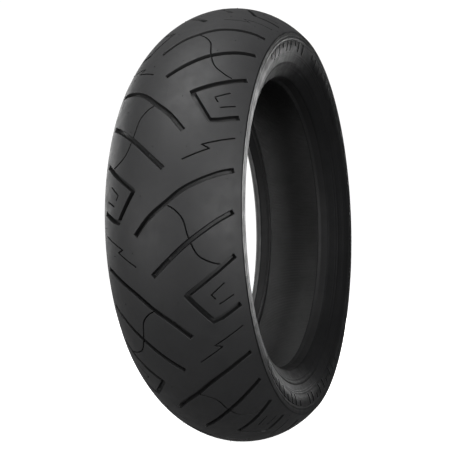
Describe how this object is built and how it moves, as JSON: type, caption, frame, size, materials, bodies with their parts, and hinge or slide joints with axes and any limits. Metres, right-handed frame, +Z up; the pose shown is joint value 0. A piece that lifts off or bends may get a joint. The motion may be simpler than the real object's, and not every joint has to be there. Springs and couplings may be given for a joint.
{
  "type": "motorcycle tire",
  "caption": "Tubeless radial motorcycle rear tire with a rounded crown, swept tread grooves and a layered casing turned round steel bead wires.",
  "frame": {"origin": "wheel centre, on the axis midway between the beads", "axes": "+Y along the wheel axis towards the right sidewall, +Z up"},
  "size_m": [0.64, 0.1804, 0.6399],
  "materials": {
    "tread": "matte",
    "sidewall": "satin",
    "liner": "satin",
    "gum": "matte",
    "cord": "matte",
    "steel_cord": "satin",
    "chafer": "matte"
  },
  "bodies": {
    "root": {"tread_cap": "tread", "tread_base": "gum", "cap_ply": "cord", "belt_outer": "cord", "belt_inner": "cord", "casing_ply_outer": "cord", "casing_ply_inner": "cord", "inner_liner": "liner", "belt_cushion_left": "gum", "belt_cushion_right": "gum", "sidewall_left": "sidewall", "sidewall_right": "sidewall", "rim_cushion_left": "sidewall", "rim_cushion_right": "sidewall", "chafer_left": "chafer", "chafer_right": "chafer", "bead_filler_left": "gum", "bead_filler_right": "gum", "bead_wrap_left": "cord", "bead_wrap_right": "cord", "bead_wire_left": "steel_cord", "bead_wire_right": "steel_cord"}
  },
  "joints": []
}
